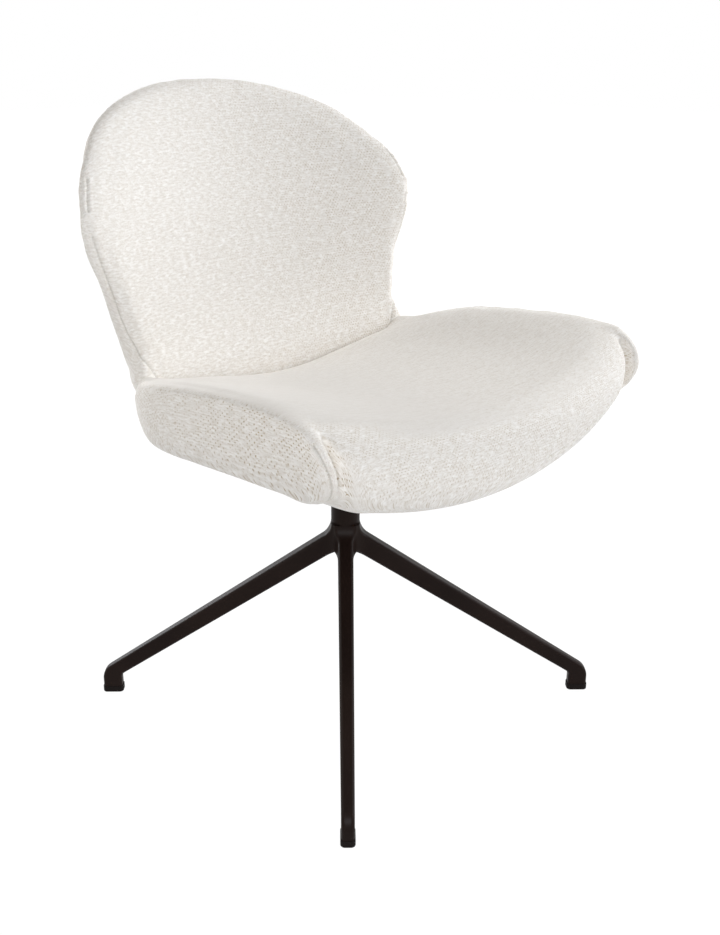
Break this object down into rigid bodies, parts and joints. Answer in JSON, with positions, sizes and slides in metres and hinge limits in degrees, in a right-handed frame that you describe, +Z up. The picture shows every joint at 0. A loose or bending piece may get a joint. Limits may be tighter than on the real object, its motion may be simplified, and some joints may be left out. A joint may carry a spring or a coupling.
{
  "type": "swivel dining chair",
  "caption": "Armless upholstered chair with a dished petal-shaped seat and wide rounded back on a swivel column with a low star of sloping legs",
  "frame": {"origin": "On the floor, on the vertical axis that the seat turns about", "axes": "+Z up; the sitter faces -Y; +X is the sitter's left"},
  "size_m": [0.576, 0.5889, 0.8045],
  "materials": {
    "coated_steel": "satin powder coat, very dark brown",
    "glide_plastic": "matt black",
    "bush_plastic": "matt off-white",
    "turned_steel": "turned, oiled",
    "spring_steel": "blackened",
    "zinc_steel": "zinc plated",
    "plywood": "raw birch plywood",
    "moulded_shell": "moulded plywood, hidden",
    "dust_cloth": "black non-woven",
    "upholstery": "off-white mottled weave with beige flecks"
  },
  "bodies": {
    "base": {"leg_rear_left": "coated_steel", "leg_rear_right": "coated_steel", "leg_front_right": "coated_steel", "leg_front_left": "coated_steel", "glide_rear_left": "glide_plastic", "glide_rear_right": "glide_plastic", "glide_front_right": "glide_plastic", "glide_front_left": "glide_plastic", "column_tube": "coated_steel", "column_plug": "glide_plastic", "lower_bush": "bush_plastic", "upper_bush": "bush_plastic"},
    "seat": {"thrust_washer": "bush_plastic", "spindle": "turned_steel", "retaining_ring": "spring_steel", "spindle_collar": "turned_steel", "seat_plate": "coated_steel", "plate_screws": "zinc_steel", "board_nuts": "zinc_steel", "seat_board": "plywood", "back_brackets": "zinc_steel", "bracket_screws": "zinc_steel", "underside_cover": "dust_cloth", "wing_left": "upholstery", "wing_right": "upholstery", "seat_cushion": "upholstery", "back_pad": "upholstery", "back_shell": "moulded_shell", "back_cover": "upholstery", "back_edge_band": "upholstery"}
  },
  "joints": [
    {"name": "seat_swivel", "type": "hinge", "parent": "base", "child": "seat", "pos_m": [0, 0, 0.385], "axis": [0, 0, 1], "continuous": true}
  ]
}
